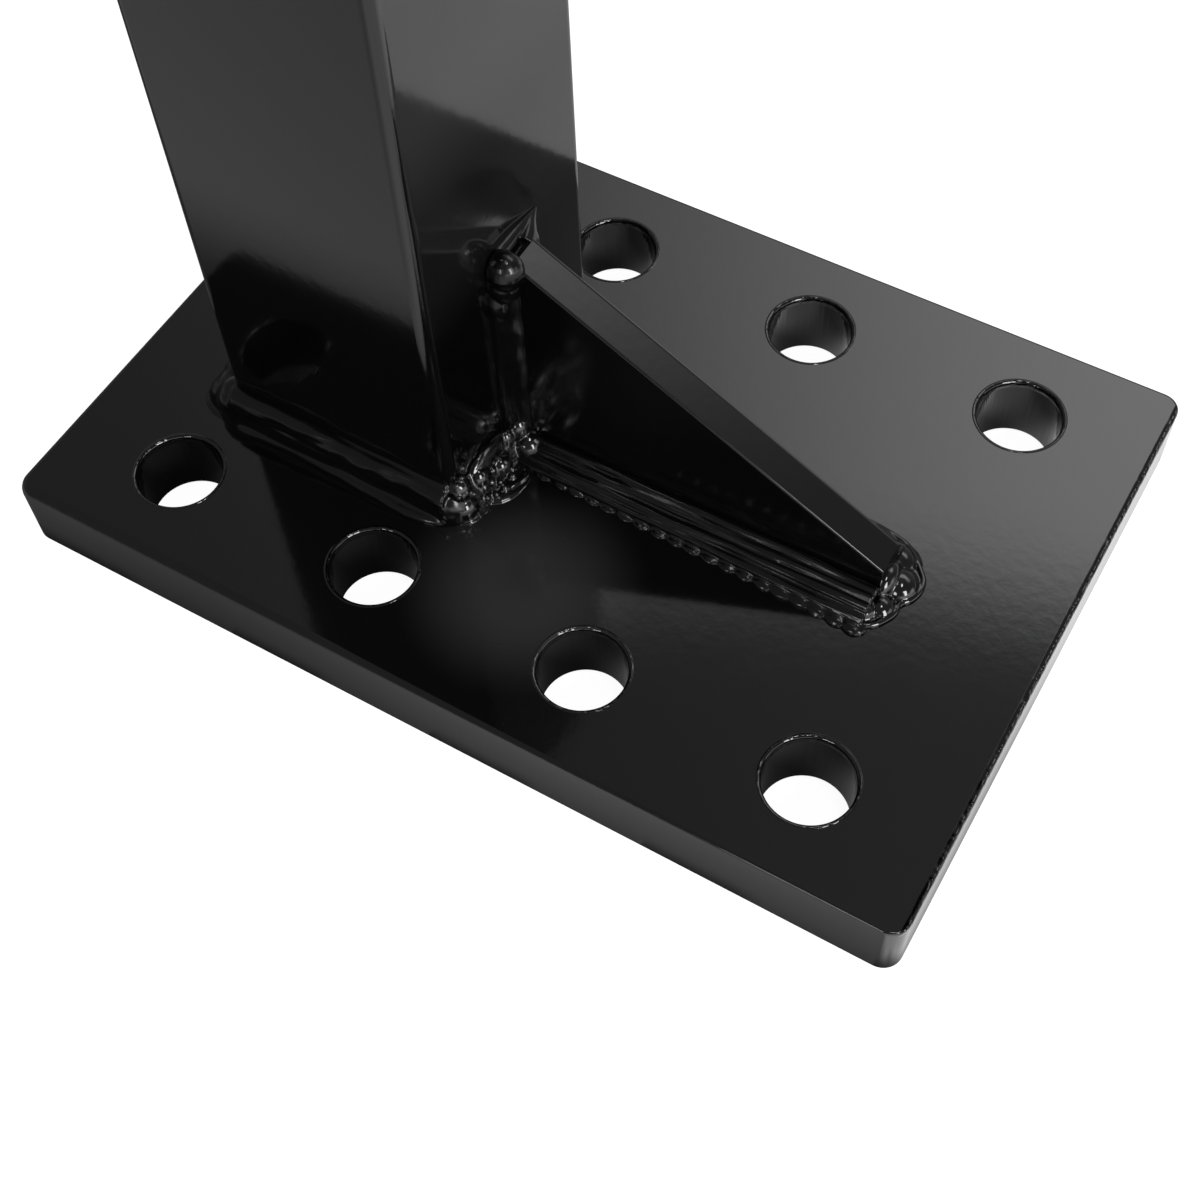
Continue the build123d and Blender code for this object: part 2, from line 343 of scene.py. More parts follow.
def painted_light_share(shade, x, y, z):
    """How much painted light lies on the coat: a painted sheen on the plate before the post, and painted
    light up the post's right face, lighter towards its top.
    """
    painted_deck_sheen = shade.between(distance(x - PAINTED_SHEEN_SPOT[0], y - PAINTED_SHEEN_SPOT[1]), *PAINTED_SHEEN_FADE)
    painted_deck_sheen = painted_deck_sheen * shade.near(z, DECK, *DECK_BAND)
    painted_face_light = shade.between(z, *PAINTED_FACE_LIGHT_LOW) + shade.between(z, *PAINTED_FACE_LIGHT_HIGH)
    return painted_deck_sheen.maths("MAXIMUM", painted_face_light * shade.near(x, POST_HIGH.x, *POST_FACE_BAND))


def make_steel_coat(settings):
    """Gloss black powder coat on rolled plate and drawn tube."""
    made = bpy.data.materials.new("steel_coat")
    shade = Shade(made)
    place = shade.node("ShaderNodeTexCoord", None, None, "Object")
    x, y, z = shade.split(place)
    # the coat's colour turns to the painted sheen colour where painted light lies
    inputs = {"Factor": painted_light_share(shade, x, y, z), "A": settings.colour, "B": settings.painted_sheen_colour}
    colour = shade.node("ShaderNodeMix", {"data_type": "RGBA"}, inputs, "Result")
    roughness = steel_roughness(shade, settings, place, x, y, z)
    shade.coat(colour, roughness, COAT_IOR, steel_height(shade, settings, place, x, y, z))
    return made


def weld_coat(name, colour, roughness, ior):
    """The same coat where it flowed over weld metal, finely pimpled, made once by each name."""
    if name in bpy.data.materials:
        return bpy.data.materials[name]
    made = bpy.data.materials.new(name)
    shade = Shade(made)
    place = shade.node("ShaderNodeTexCoord", None, None, "Object")
    clouds = shade.noise(place, CLOUD_SCALE, 2.0, 0.6) * CLOUD_ROUGHNESS
    pimples = shade.noise(place, PIMPLE_SCALE) * PIMPLE_DEPTH
    shade.coat(colour, clouds + (roughness - CLOUD_ROUGHNESS / 3), ior, pimples)
    return made


def lump_coat(context):
    """The bright coat on lobes, lumps and crumbs."""
    settings = context.scene.postbase_coat
    return weld_coat("weld_coat", settings.colour, settings.lump_roughness, COAT_IOR)


def bead_coat(context):
    """The duller coat on the smooth beads."""
    settings = context.scene.postbase_coat
    return weld_coat("soft_weld_coat", settings.colour, settings.bead_roughness, BEAD_IOR)


class SteelSettings(bpy.types.PropertyGroup):
    edge_radius: bpy.props.FloatProperty(
        name="Plate edge", description="Radius along the plate's upper outline", unit="LENGTH", default=0.001)
    rim_radius: bpy.props.FloatProperty(
        name="Hole rims", description="Radius of the holes' rims", unit="LENGTH", default=0.0008)
    near_radius: bpy.props.FloatProperty(
        name="Gusset near edge", description="Radius of the gusset's upper edge on its near side",
        unit="LENGTH", default=0.0005)
    far_radius: bpy.props.FloatProperty(
        name="Gusset far edge", description="Radius of the gusset's upper edge on its far side",
        unit="LENGTH", default=0.0016)


class CoatSettings(bpy.types.PropertyGroup):
    colour: bpy.props.FloatVectorProperty(
        name="Coat colour", description="Colour of the powder coat", subtype="COLOR", size=4,
        min=0.0, max=1.0, default=(0.001, 0.001, 0.0011, 1.0))
    # the colour painted onto the coat as sheen on the plate before the post and as light up the post's right
    # face
    painted_sheen_colour: bpy.props.FloatVectorProperty(
        name="Painted sheen colour", description="Colour painted onto the coat as sheen and light", subtype="COLOR", size=4,
        min=0.0, max=1.0, default=grey(0.021))
    steel_roughness: bpy.props.FloatProperty(
        name="Steel roughness", description="How far the gloss is dulled on the steel",
        subtype="FACTOR", min=0.0, max=1.0, default=0.09)
    lump_roughness: bpy.props.FloatProperty(
        name="Lump roughness", description="How far the gloss is dulled on the lumps of weld metal",
        subtype="FACTOR", min=0.0, max=1.0, default=0.09)
    bead_roughness: bpy.props.FloatProperty(
        name="Bead roughness", description="How far the gloss is dulled on the smooth beads",
        subtype="FACTOR", min=0.0, max=1.0, default=0.2)
    peel_size: bpy.props.FloatProperty(
        name="Peel size", description="Width of the coat's orange peel", unit="LENGTH", default=0.0028)
    peel_depth: bpy.props.FloatProperty(
        name="Peel depth", description="Height of the coat's orange peel", unit="LENGTH", default=0.000012)


class StudioSettings(bpy.types.PropertyGroup):
    camera_turn: bpy.props.FloatProperty(
        name="Camera turn", description="Camera's turn about the upright axis, from the front",
        subtype="ANGLE", default=math.radians(32.87))
    camera_rise: bpy.props.FloatProperty(
        name="Camera rise", description="Camera's height above level, seen from the plate",
        subtype="ANGLE", default=math.radians(57.57))
    camera_roll: bpy.props.FloatProperty(
        name="Camera roll", description="Camera's tilt about its line of sight",
        subtype="ANGLE", default=math.radians(3.11))
    camera_distance: bpy.props.FloatProperty(
        name="Camera distance", description="From the camera to the point it looks at",
        unit="LENGTH", default=0.44012)
    camera_target: bpy.props.FloatVectorProperty(
        name="Camera target", description="Point on the plate's top at the picture's middle",
        subtype="TRANSLATION", size=3, default=(0.02396, -0.04129, DECK))
    focal_length: bpy.props.FloatProperty(
        name="Focal length", description="Focal length on a 36 mm wide sensor", subtype="DISTANCE_CAMERA",
        default=54.39)
    floor_colour: bpy.props.FloatVectorProperty(
        name="Floor colour", description="Colour of the studio floor", subtype="COLOR", size=4,
        min=0.0, max=1.0, default=grey(0.9))
    panel_strength: bpy.props.FloatProperty(
        name="Panel strength", description="Brightness of the large panel behind the post", default=3.15)


# Studio

def place_camera(settings):
    turn = settings.camera_turn
    rise = settings.camera_rise
    roll = settings.camera_roll
    back = Vector((math.sin(turn) * math.cos(rise), -math.cos(turn) * math.cos(rise), math.sin(rise)))
    across = Vector((0.0, 0.0, 1.0)).cross(back).normalized()
    down = across.cross(back).normalized()
    right = across * math.cos(roll) + down * math.sin(roll)
    lower = down * math.cos(roll) - across * math.sin(roll)
    axes = Matrix((right, -lower, back)).transposed()
    spot = Vector(settings.camera_target) + back * settings.camera_distance
    bpy.ops.object.camera_add(location=spot, rotation=axes.to_euler())
    camera = bpy.context.object
    camera.name = "studio_camera"
    camera.data.lens = settings.focal_length
    camera.data.sensor_width = SENSOR_WIDTH
    camera.data.sensor_fit = "HORIZONTAL"
    camera.data.clip_start = 0.01
    bpy.context.scene.camera = camera


def painted_floor_light(shade):
    """Painted light and shade on the floor, seen only in the gloss of the coat: painted shade towards the
    front left, a painted shadow close to the plate's front and under it, and painted light below the holes."""
    x, y = shade.split(shade.node("ShaderNodeTexCoord", None, None, "Object"))[:2]
    out_x = x.maths("ABSOLUTE") - PLATE_HIGH.x
    out_y = y.maths("ABSOLUTE") - PLATE_HIGH.y
    beyond = shade.between(out_x.maths("MAXIMUM", out_y), *UNDER_PLATE_PAINTED_SHADE)
    # painted light below the holes and beyond the plate, painted shade under it and towards the front and
    # left
    painted_hole_light = shade.between(y, *ROW_PAINTED_LIGHT) * shade.between(along_from_hole(x), *HOLE_PAINTED_LIGHT)
    front = shade.between(y, *FRONT_PAINTED_SHADOW)
    sides = shade.between(x, *RIGHT_PAINTED_LIGHT).maths("MAXIMUM", shade.between(y, *BACK_PAINTED_LIGHT))
    painted_open_light = painted_hole_light + beyond * (1.0 - painted_hole_light)
    return painted_open_light * shade.between(x, *LEFT_PAINTED_SHADE) * (front + sides * (1.0 - front))


def make_floor_paint(settings):
    """White floor: clean white to the camera but for a faint shadow, and glowing with painted light and shade
    to the gloss.
    """
    made = bpy.data.materials.new("floor_paint")
    shade = Shade(made)
    lit = shade.node("ShaderNodeBsdfDiffuse", None, {"Color": settings.floor_colour})
    faint = shade.node("ShaderNodeBsdfDiffuse", None, {"Color": grey(SHADOW_LEVEL)})
    glow = shade.node("ShaderNodeEmission", None, {"Color": grey(1.0), "Strength": FLOOR_GLOW})
    to_camera = shade.node("ShaderNodeAddShader", None, {0: faint, 1: glow})
    # to the gloss, the floor glows with its painted light and shade instead of being lit
    painted_floor_glow = shade.node("ShaderNodeEmission", None, {"Color": painted_floor_light(shade), "Strength": 1.0})
    is_gloss = shade.node("ShaderNodeLightPath", None, None, "Is Glossy Ray")
    is_camera = shade.node("ShaderNodeLightPath", None, None, "Is Camera Ray")
    unseen = shade.node("ShaderNodeMixShader", None, {"Fac": is_gloss, 1: lit, 2: painted_floor_glow})
    whole = shade.node("ShaderNodeMixShader", None, {"Fac": is_camera, 1: unseen, 2: to_camera})
    shade.node("ShaderNodeOutputMaterial", None, {"Surface": whole})
    return made


def room_light(shade, strength):
    """The room's light by direction: a large soft panel behind the post, a low horizon and a dim rest."""
    x, y, z = shade.split(shade.node("ShaderNodeTexCoord", None, None, "Generated"))
    turn = x.maths("ARCTAN2", y)
    rise = z.maths("ARCSINE")
    sides = (shade.between(turn, *PANEL_LEFT) ** PANEL_CURVE) * shade.between(turn, *PANEL_RIGHT)
    ends = shade.between(rise + turn * PANEL_SLANT, *PANEL_TOP) * shade.between(rise, *PANEL_FOOT)
    horizon = shade.between(turn, *HORIZON_LEFT) * shade.between(turn, *HORIZON_RIGHT)
    return sides * ends * strength + horizon * shade.between(rise, *HORIZON_TOP) + ROOM_LEVEL


def make_world(settings):
    """The studio's room, and plain white where the camera looks past the floor."""
    world = bpy.data.worlds.new("studio_world")
    shade = Shade(world)
    light = room_light(shade, settings.panel_strength)
    glow = shade.node("ShaderNodeBackground", None, {"Color": light, "Strength": 1.0})
    white = shade.node("ShaderNodeBackground", None, {"Color": grey(1.0), "Strength": 1.0})
    is_camera = shade.node("ShaderNodeLightPath", None, None, "Is Camera Ray")
    whole = shade.node("ShaderNodeMixShader", None, {"Fac": is_camera, 1: glow, 2: white})
    shade.node("ShaderNodeOutputWorld", None, {"Surface": whole})
    bpy.context.scene.world = world


def add_lamp(name, turn, rise, width, height, power):
    """A soft lamp that looks at the plate's middle from a bearing and a rise in degrees."""
    turn = math.radians(turn)
    rise = math.radians(rise)
    away = Vector((math.sin(turn) * math.cos(rise), math.cos(turn) * math.cos(rise), math.sin(rise)))
    place = Vector((0.0, 0.0, DECK)) + away * LAMP_DISTANCE
    bpy.ops.object.light_add(type="AREA", location=place, rotation=away.to_track_quat("Z", "Y").to_euler())
    lamp = bpy.context.object
    lamp.name = name
    lamp.data.shape = "RECTANGLE"
    lamp.data.size = width
    lamp.data.size_y = height
    lamp.data.energy = power


def make_floor(settings):
    """The studio's floor, level with the plate's underside."""
    deselect_all()
    bpy.ops.mesh.primitive_plane_add(size=FLOOR_SIZE, location=(0.0, 0.0, CAD_BOX[0][2]))
    floor = set_in_mesh(bpy.context.object)
    floor.name = "studio_floor"
    floor.data.materials.append(make_floor_paint(settings))


# Mesh work

def at(x, y, z):
    """A place in metres, from millimetres along, across and above the plate's top."""
    return Vector((x * MM, y * MM, DECK + z * MM))


def deselect_all():
    bpy.ops.object.select_all(action="DESELECT")


def only(piece):
    """Selects one piece alone and makes it the active one."""
    deselect_all()
    piece.select_set(True)
    bpy.context.view_layer.objects.active = piece


def rename(piece, name):
    piece.name = name
    piece.data.name = name


def set_in_mesh(piece):
    """Moves a piece's place, turn and size into its mesh."""
    only(piece)
    bpy.ops.object.transform_apply(location=True, rotation=True, scale=True)
    return piece


def clear_mesh_selection(piece, kind):
    """Deselects a whole mesh, so that its vertices or edges can be selected in code."""
    only(piece)
    bpy.ops.object.mode_set(mode="EDIT")
    bpy.ops.mesh.select_mode(type=kind)
    bpy.ops.mesh.select_all(action="DESELECT")
    bpy.ops.object.mode_set(mode="OBJECT")


def apply_modifier(piece, kind, **settings):
    only(piece)
    bpy.ops.object.modifier_add(type=kind)
    modifier = piece.modifiers[-1]
    for name, value in settings.items():
        setattr(modifier, name, value)
    bpy.ops.object.modifier_apply(modifier=modifier.name)


def trim(piece, place, away):
    """Cuts off what lies beyond a plane, on the side that away points to, and closes the cut."""
    only(piece)
    bpy.ops.object.mode_set(mode="EDIT")
    bpy.ops.mesh.select_all(action="SELECT")
    bpy.ops.mesh.bisect(plane_co=place, plane_no=away, use_fill=True, clear_outer=True)
    bpy.ops.object.mode_set(mode="OBJECT")


def bevel_edges(piece, chosen, width, segments):
    """Rounds the edges whose two ends make the test called chosen true."""
    clear_mesh_selection(piece, "EDGE")
    for edge in piece.data.edges:
        first, last = (piece.data.vertices[index].co for index in edge.vertices)
        edge.select = chosen(first, last)
    bpy.ops.object.mode_set(mode="EDIT")
    bpy.ops.mesh.bevel(offset=width, segments=segments, affect="EDGES")
    bpy.ops.mesh.select_mode(type="VERT")
    bpy.ops.object.mode_set(mode="OBJECT")


def block(name, low, high):
    """A plain box between two corners."""
    deselect_all()
    bpy.ops.mesh.primitive_cube_add(size=1.0, location=(low + high) / 2, scale=high - low)
    piece = set_in_mesh(bpy.context.object)
    rename(piece, name)
    return piece


def copy_of(node, name):
    """A merged copy of one of the frame's solids."""
    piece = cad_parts[node].copy()
    piece.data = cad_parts[node].data.copy()
    rename(piece, name)
    piece.parent = None
    for key in list(piece.keys()):
        del piece[key]
    bpy.context.collection.objects.link(piece)
    only(piece)
    bpy.ops.object.mode_set(mode="EDIT")
    bpy.ops.mesh.select_all(action="SELECT")
    bpy.ops.mesh.remove_doubles(threshold=MERGED)
    bpy.ops.object.mode_set(mode="OBJECT")
    return piece


def stand_in(piece, node, coat):
    """Coats a finished piece, sets it on the body and lets it stand for its solid."""
    piece.data.materials.clear()
    piece.data.materials.append(coat)
    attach(piece, BODY)
    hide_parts(node)


# Steel

def level_normals(piece):
    """Gives the corners round each broad flat face that face's own normal, so that its gloss stays flat."""
    mesh = piece.data
    broad = {}
    for face in mesh.polygons:
        if face.area > BROAD_FACE:
            for index in face.vertices:
                broad.setdefault(index, []).append(face.normal.copy())
    normals = [corner.vector.copy() for corner in mesh.corner_normals]
    for face in mesh.polygons:
        for loop, index in zip(face.loop_indices, face.vertices):
            for normal in broad.get(index, ()):
                if normal.dot(face.normal) > NEAR_LEVEL:
                    normals[loop] = normal
    mesh.normals_split_custom_set(normals)


def finish_steel(piece, node, coat):
    """Smooths a steel piece's rounded edges and hands it over."""
    only(piece)
    bpy.ops.object.shade_smooth_by_angle(angle=SMOOTH_ANGLE)
    apply_modifier(piece, "WEIGHTED_NORMAL", keep_sharp=True)
    level_normals(piece)
    stand_in(piece, node, coat)


def edge_spot(corner):
    """The nearest point of the plate's upper outline and its distance on the level, far off if inside."""
    core_x = PLATE_HIGH.x - PLATE_CORNER
    core_y = PLATE_HIGH.y - PLATE_CORNER
    core = Vector((max(-core_x, min(core_x, corner.x)), max(-core_y, min(core_y, corner.y)), DECK))
    out = Vector((corner.x - core.x, corner.y - core.y, 0.0))
    if out.length < MERGED:
        return core, FAR_OFF
    spot = core + out.normalized() * PLATE_CORNER
    return spot, math.dist(spot.xy, corner.xy)


def round_outline(plate, radius):
    """Rounds the plate's upper outline: along the front, more at the left and less at the right."""
    def on_outline(corner):
        return corner.z > DECK - SAME_PLACE and edge_spot(corner)[1] < SAME_PLACE

    bevel_edges(plate, lambda a, b: on_outline(a) and on_outline(b), radius, segments=6)
    reach = radius * MARGIN
    for corner in plate.data.vertices:
        spot, off = edge_spot(corner.co)
        if off < reach and corner.co.z > DECK - reach:
            front = max(0.0, min(1.0, (PLATE_LOW.y + FRONT_REACH - spot.y) / FRONT_REACH))
            along = (spot.x - PLATE_LOW.x) / (PLATE_HIGH.x - PLATE_LOW.x)
            round_off = 1.0 + front * (FRONT_GAIN - FRONT_LOSS * along)
            corner.co = spot + (corner.co - spot) * round_off


def cut_holes(plate):
    """Cuts the eight bolt holes through the plate."""
    for x, y in HOLE_SPOTS:
        deselect_all()
        bpy.ops.mesh.primitive_cylinder_add(
            vertices=HOLE_SIDES, radius=HOLE_RADIUS, depth=CUTTER_LENGTH, location=(x, y, DECK / 2))
        cutter = bpy.context.object
        apply_modifier(plate, "BOOLEAN", operation="DIFFERENCE", object=cutter, solver="EXACT")
        only(cutter)
        bpy.ops.object.delete()


def round_rims(plate, radius):
    """Rounds both rims of every hole."""
    def on_rim(corner):
        return any(abs(math.dist(spot, corner.xy) - HOLE_RADIUS) < SAME_PLACE for spot in HOLE_SPOTS)

    rim_edge = HOLE_RADIUS * math.tau / HOLE_SIDES * MARGIN
    bevel_edges(plate, lambda a, b: (a - b).length < rim_edge and on_rim(a) and on_rim(b), radius, segments=5)


def make_plate(settings):
    """The base plate: rounded corners and edges, eight holes and their rolled-over rims."""
    plate = block("steel_plate", PLATE_LOW, PLATE_HIGH)
    bevel_edges(plate, lambda a, b: abs(a.z - b.z) > DECK / 2, PLATE_CORNER, segments=8)
    round_outline(plate, settings.edge_radius)
    cut_holes(plate)
    round_rims(plate, settings.rim_radius)
    return plate


def make_gusset(settings):
    """The tapered gusset: level at its top, crisp along its near upper edge and rounder along the far one."""
    gusset = block("steel_gusset", GUSSET_LOW, GUSSET_HIGH)
    for corner in gusset.data.vertices:
        if corner.co.x > 0.0 and corner.co.z > DECK + GUSSET_TOE_HEIGHT:
            corner.co.z = DECK + GUSSET_TOE_HEIGHT
    trim(gusset, at(*MELTED_TOP), MELTED_SLOPE)

    def upper(corner, y):
        return corner.z > DECK + GUSSET_TOE_HEIGHT / 2 and abs(corner.y - y) < SAME_PLACE

    edges = ((GUSSET_HIGH.y, settings.far_radius, 6), (GUSSET_LOW.y, settings.near_radius, 5))
    for y, radius, segments in edges:
        bevel_edges(gusset, lambda a, b: upper(a, y) and upper(b, y), radius, segments)
    return gusset


# Weld metal

def lump(place, size, turn=0.0):
    """One rounded lump of metal: its centre, its three half sizes in millimetres and its turn in degrees."""
    deselect_all()
    bpy.ops.mesh.primitive_uv_sphere_add(
        segments=LUMP_SEGMENTS, ring_count=LUMP_RINGS, radius=1.0, location=place,
        rotation=(0.0, 0.0, math.radians(turn)), scale=[half * MM for half in size])
    return bpy.context.object


def lumps(rows):
    """Lumps from rows in millimetres: place along, across and up, three half sizes, and the turn if any."""
    return [lump(at(*row[:3]), row[3:6], *row[6:]) for row in rows]


def crumbs(rows, share=1.0):
    """Round crumbs from rows in millimetres: place along, across and up, and the radius, times a share."""
    return [lump(at(x, y, z), [radius * share] * 3) for x, y, z, radius in rows]


def fillet(start, end, wall_leg, floor_leg, knee):
    """A straight run of fillet along x or y: an eight-sided bar about the corner line, whose slanted corners
    stand at the knee, out from the wall and up from the floor."""
    along = end - start
    turn = math.atan2(along.y, along.x)
    deselect_all()
    bpy.ops.mesh.primitive_cylinder_add(
        vertices=8, radius=1.0, depth=along.length, location=(start + end) / 2,
        rotation=(0.0, math.radians(90), turn), scale=(wall_leg * MM, floor_leg * MM, 1.0))
    bar = set_in_mesh(bpy.context.object)
    side = Vector((-math.sin(turn), math.cos(turn), 0.0))
    for corner in bar.data.vertices:
        off = corner.co - start
        out = off.dot(side)
        if abs(out) > SLANTED * floor_leg * MM and abs(off.z) > SLANTED * wall_leg * MM:
            corner.co += side * (math.copysign(knee[0] * MM, out) - out)
            corner.co.z += math.copysign(knee[1] * MM, off.z) - off.z
    return bar


def stringer(points, radii):
    """A rope of metal laid along points, with its radius in millimetres at each."""
    path = bpy.data.curves.new("stringer", "CURVE")
    path.dimensions = "3D"
    path.bevel_depth = MM
    path.bevel_resolution = 3
    path.resolution_u = 8
    path.use_fill_caps = True
    spline = path.splines.new("NURBS")
    spline.points.add(len(points) - 1)
    for knot, place, radius in zip(spline.points, points, radii):
        knot.co = (*place, 1.0)
        knot.radius = radius
    spline.order_u = 3
    spline.use_endpoint_u = True
    strand = bpy.data.objects.new("stringer", path)
    bpy.context.collection.objects.link(strand)
    only(strand)
    bpy.ops.object.convert(target="MESH")
    return bpy.context.object


def rope(rows):
    """A stringer from rows in millimetres: place along, across and up, and radius."""
    return stringer([at(*row[:3]) for row in rows], [row[3] for row in rows])


def fuse(name, parts, voxel, rounds):
    """Melts overlapping parts into one skin, made of voxels of a size in millimetres, and relaxes it."""
    deselect_all()
    for part in parts:
        part.select_set(True)
    bpy.context.view_layer.objects.active = parts[0]
    bpy.ops.object.join()
    piece = set_in_mesh(bpy.context.object)
    rename(piece, name)
    apply_modifier(piece, "REMESH", mode="VOXEL", voxel_size=voxel * MM)
    apply_modifier(piece, "SMOOTH", factor=RELAX, iterations=rounds)
    return piece


def roughen(piece, grain, depth, shift=(0.0, 0.0, 0.0)):
    """Raises and sinks a skin by a soft noise, whose grain and depth are in millimetres."""
    noise = bpy.data.textures.new("noise", "CLOUDS")
    noise.noise_scale = 1.0
    noise.noise_depth = 1
    deselect_all()
    bpy.ops.object.empty_add(location=[part * MM for part in shift])
    guide = bpy.context.object
    guide.scale = [size * MM for size in grain]
    bpy.context.view_layer.update()
    apply_modifier(piece, "DISPLACE", texture=noise, texture_coords="OBJECT", texture_coords_object=guide,
                   strength=depth * MM, mid_level=0.5)
    bpy.data.objects.remove(guide)
    bpy.data.textures.remove(noise)


def finish_weld(piece, node, coat):
    """Smooths a finished weld and hands it over."""
    only(piece)
    bpy.ops.object.shade_smooth()
    stand_in(piece, node, coat)


def make_front_bead():
    """The bead along the post's front: a broad face, a groove and a narrow toe, round the left corner too."""
    left, right, face = POST_LEFT, POST_RIGHT, POST_FRONT
    crest = ((left + 1, face - 0.8, 8.6, 3.2), (-72, face - 0.8, 9.6, 3.4), (-59, face - 0.8, 8.4, 3.2),
             (-47, face - 0.8, 7.4, 3.0), (-35, face - 0.9, 7.2, 3.0), (right - 1, face - 0.9, 6.6, 3.0))
    toe = ((left - 3.5, face + 2, 0.4, 1.6), (left + 1.0, face - 3.6, 0.4, 1.9), (-80, -41.0, 0.6, 1.8),
           (-71, -40.5, 0.6, 1.7), (-62, -40.4, 0.6, 1.7), (-52, -40.8, 0.6, 1.7), (-42, -41.6, 0.6, 1.7),
           (-32, -42.8, 0.5, 1.7), (-25, -42.2, 0.4, 1.6), (-20, -39.4, 0.3, 1.4), (-16.2, -36.4, 0.2, 1.2),
           (-15, -33, 0, 0.9))
    wrap = ((left + 0.5, face + 1, 2, 7, 6.0, 9.5), (left - 4.0, face + 3.8, 1.0, 6.6, 7.0, 7.0, 35),
            (left - 3.6, face + 9.5, 1.5, 6.6, 8, 8.0), (left - 3.6, face + 4, 0, 8.4, 9.0, 1.4, 30),
            (right - 2, face + 1.5, 1, 6.5, 6, 7.6))
    main = fillet(at(left + 1, face + 0.5, 0), at(right - 1, face + 0.5, 0),
                  wall_leg=11.2, floor_leg=5.2, knee=(4.3, 5.8))
    piece = fuse("weld_front_bead", [main, rope(crest), rope(toe), *lumps(wrap)], voxel=0.33, rounds=14)
    roughen(piece, grain=(12, 5, 5), depth=1.2)
    return piece


def make_corner_lump():
    """The round lump at the post's front right corner, with a knob and crumbs on it."""
    body = ((-19.5, -34.8, 1.9, 4.4, 4.4, 4.4), (-20.6, -34.2, 7.6, 3.7, 3.7, 4.4),
            (-19.6, -31.0, 2.6, 3.4, 3.4, 3.4), (-19.2, -34.4, 0, 5.0, 5.2, 0.5))
    beads = ((-19.6, -33.6, 12.0, 0.9), (-19.9, -35.6, 11.0, 0.9), (-17.8, -34.9, 8.6, 0.9),
             (-16.6, -33.6, 7.4, 0.9), (-18.6, -37.0, 8.6, 0.8), (-22.2, -37.6, 9.6, 0.9))
    return fuse("weld_corner_lump", lumps(body) + crumbs(beads), voxel=0.2, rounds=7)


def make_rough_weld():
    """The cold, globular weld from the corner lump to the gusset: smooth lobes with crumbs on them."""
    face = POST_RIGHT
    lobes = ((face + 0.6, -22, 6.0, 2.4, 9.0, 5.4), (face + 5.4, -10.5, 2.0, 4.6, 4.6, 4.6),
             (face + 2.6, -10.0, 6.6, 3.2, 3.6, 4.4), (face + 4.6, -21, 0, 6.6, 9.6, 1.2),
             (face + 1.6, -27.5, 5.0, 3.0, 3.4, 4.0), (face + 3.0, -20.0, 3.4, 3.0, 3.4, 2.8),
             (face + 1.4, -14.4, 6.4, 2.4, 2.6, 3.2))
    beads = ((-19.3, -14.7, 8.0, 1.1), (-17.0, -12.1, 5.2, 1.2), (-18.6, -18.1, 7.2, 1.2),
             (-19.0, -19.6, 7.2, 1.1), (-17.6, -16.0, 5.7, 0.8), (-19.4, -26.4, 8.2, 1.1),
             (-17.2, -23.9, 5.3, 1.2), (-16.1, -26.3, 3.8, 1.3), (-15.0, -24.4, 2.4, 1.1),
             (-13.8, -20.6, 1.2, 1.3), (-13.6, -24.6, 1.0, 1.2), (-15.2, -30.1, 2.4, 1.0),
             (-14.4, -19.4, 2.2, 0.9), (-20.0, -22.8, 9.0, 1.0), (-14.2, -27.6, 1.4, 1.0),
             (-16.6, -29.0, 4.4, 1.2))
    toe = ((-13.4, -25.4, 0.3, 0.7), (-12.0, -22.8, 0.4, 0.9), (-11.3, -20.2, 0.4, 1.0),
           (-11.2, -17.8, 0.3, 0.9), (-12.2, -15.6, 0.3, 0.7))
    main = fillet(at(face + 0.3, -35, 0), at(face + 0.3, -8, 0), wall_leg=9.0, floor_leg=6.0, knee=(3.6, 4.4))
    parts = [main, *lumps(lobes), *crumbs(beads, share=0.85), rope(toe)]
    return fuse("weld_rough", parts, voxel=0.2, rounds=8)


# each bead along the gusset: the face it lies on, the side it lies to, the ropes along it, the scallops
# along its toe, and the seed of its small chances. A rope holds distance from the gusset, height and
# radius, at the post and at the toe. The scallops hold pitch, radius, and reach at the post and at the toe.
NEAR_BEAD = {
    "face": GUSSET_LOW.y / MM,
    "side": -1,
    "ropes": (((0.8, 4.4, 1.2), (1.0, 5.0, 1.3)), ((2.6, 3.4, 1.3), (3.2, 4.0, 1.5)),
              ((4.7, 2.1, 1.3), (5.8, 2.8, 1.6)), ((6.4, 0.9, 1.2), (8.2, 1.3, 1.6))),
    "scallops": (4.8, 3.0, 8.6, 12.4),
    "seed": 5,
}
FAR_BEAD = {
    "face": GUSSET_HIGH.y / MM,
    "side": 1,
    "ropes": (((1.0, 4.6, 1.3), (1.2, 4.6, 1.3)), ((3.2, 3.2, 1.4), (3.2, 3.2, 1.4)),
              ((5.4, 1.6, 1.4), (5.4, 1.6, 1.4))),
    "scallops": (5.0, 2.2, 8.0, 8.0),
    "seed": 9,
}
BEAD_START = POST_RIGHT + 1
BEAD_END = GUSSET_HIGH.x / MM


def gusset_ropes(bead, chance):
    """The streaky ropes along a bead, each wandering a little."""
    parts = []
    for near, far in bead["ropes"]:
        points = []
        radii = []
        for index in range(ROPE_POINTS):
            share = index / (ROPE_POINTS - 1)
            off, height, radius = (a + (b - a) * share for a, b in zip(near, far))
            wander = chance.uniform(*ROPE_WANDER)
            along = BEAD_START + (BEAD_END - BEAD_START) * share
            across = bead["face"] + bead["side"] * (off + wander)
            points.append(at(along, across, height - wander * ROPE_SINK))
            radii.append(radius * chance.uniform(*ROPE_UNEVEN))
        parts.append(stringer(points, radii))
    return parts


